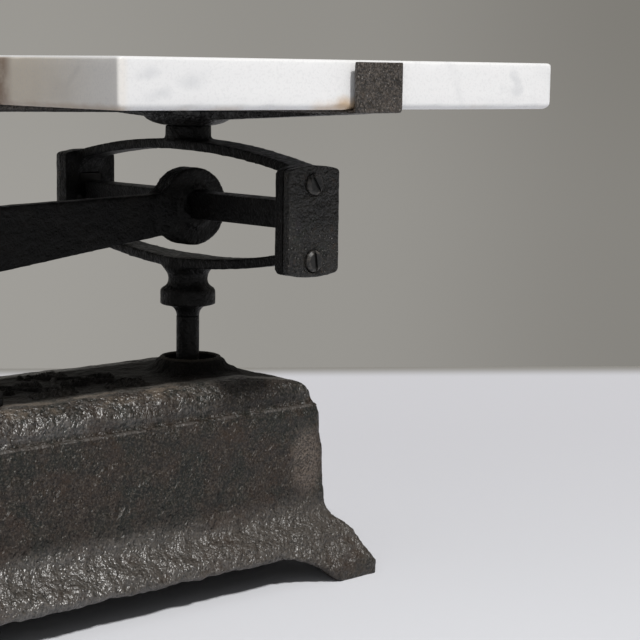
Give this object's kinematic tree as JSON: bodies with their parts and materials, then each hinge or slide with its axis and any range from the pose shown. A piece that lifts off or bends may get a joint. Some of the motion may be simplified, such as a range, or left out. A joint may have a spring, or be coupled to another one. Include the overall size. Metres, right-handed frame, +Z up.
{
  "type": "counter balance scale",
  "caption": "Equal-arm counter balance with a hollow footed base, knife-edge beam, carriers kept upright by a hidden stay, a stone goods slab and a round weights plate.",
  "frame": {"origin": "middle of the base, on the surface that its four feet stand on", "axes": "+X towards the goods end with the marble slab, -Y towards the front, +Z up"},
  "size_m": [0.6296, 0.298, 0.2735],
  "materials": {
    "base_iron": "rough casting, dark grey-brown, worn shine on the shoulders",
    "black_iron": "blackened casting, dull",
    "worked_steel": "turned and filed, darkened with age",
    "marble": "honed white marble with faint grey veins"
  },
  "bodies": {
    "base": {"base_casting": "base_iron", "fulcrum_pillar": "black_iron", "pillar_bolts": "worked_steel", "pillar_nuts": "worked_steel", "fulcrum_bearings": "worked_steel", "fulcrum_cover_front": "black_iron", "fulcrum_cover_back": "black_iron", "fulcrum_cover_screws": "worked_steel", "stay_bracket": "black_iron", "stay_pin": "worked_steel"},
    "beam": {"beam": "black_iron", "fulcrum_knife_bar": "worked_steel", "goods_knife_bar": "black_iron", "weights_knife_bar": "black_iron"},
    "stay": {"stay": "black_iron"},
    "goods_carrier": {"goods_carrier_frame": "black_iron", "goods_bearings": "worked_steel", "goods_end_plate_front": "black_iron", "goods_end_plate_back": "black_iron", "goods_plate_screws": "black_iron", "goods_leg": "black_iron", "goods_leg_pin": "worked_steel", "goods_cradle": "black_iron", "goods_cradle_screw": "worked_steel"},
    "marble_slab": {"marble_slab": "marble"},
    "weights_carrier": {"weights_carrier_frame": "black_iron", "weights_bearings": "worked_steel", "weights_end_plate_front": "black_iron", "weights_end_plate_back": "black_iron", "weights_plate_screws": "black_iron", "weights_leg": "black_iron", "weights_leg_pin": "worked_steel", "weights_cradle": "black_iron", "weights_cradle_screw": "worked_steel"},
    "weights_plate": {"weights_plate": "black_iron"}
  },
  "joints": [
    {"name": "beam_swing", "type": "hinge", "parent": "base", "child": "beam", "pos_m": [0, 0, 0.18666], "axis": [0, 1, 0], "range_deg": [0, 8.8]},
    {"name": "goods_carrier_pivot", "type": "hinge", "parent": "beam", "child": "goods_carrier", "pos_m": [0.17747, 0, 0.20031], "axis": [0, 1, 0], "range_deg": [-8.8, 0]},
    {"name": "weights_carrier_pivot", "type": "hinge", "parent": "beam", "child": "weights_carrier", "pos_m": [-0.17747, 0, 0.173], "axis": [0, 1, 0], "range_deg": [-8.8, 0]},
    {"name": "stay_swing", "type": "hinge", "parent": "base", "child": "stay", "pos_m": [0, 0, 0.05466], "axis": [0, 1, 0], "range_deg": [0, 8.8]},
    {"name": "slab_lift", "type": "slide", "parent": "goods_carrier", "child": "marble_slab", "axis": [0, 0, 1], "range_m": [0, 0.03]},
    {"name": "weights_plate_lift", "type": "slide", "parent": "weights_carrier", "child": "weights_plate", "axis": [0, 0, 1], "range_m": [0, 0.03]}
  ],
  "couplings": [
    {"joint": "goods_carrier_pivot", "follows": "beam_swing", "ratio": -1},
    {"joint": "weights_carrier_pivot", "follows": "beam_swing", "ratio": -1},
    {"joint": "stay_swing", "follows": "beam_swing", "ratio": 1}
  ]
}
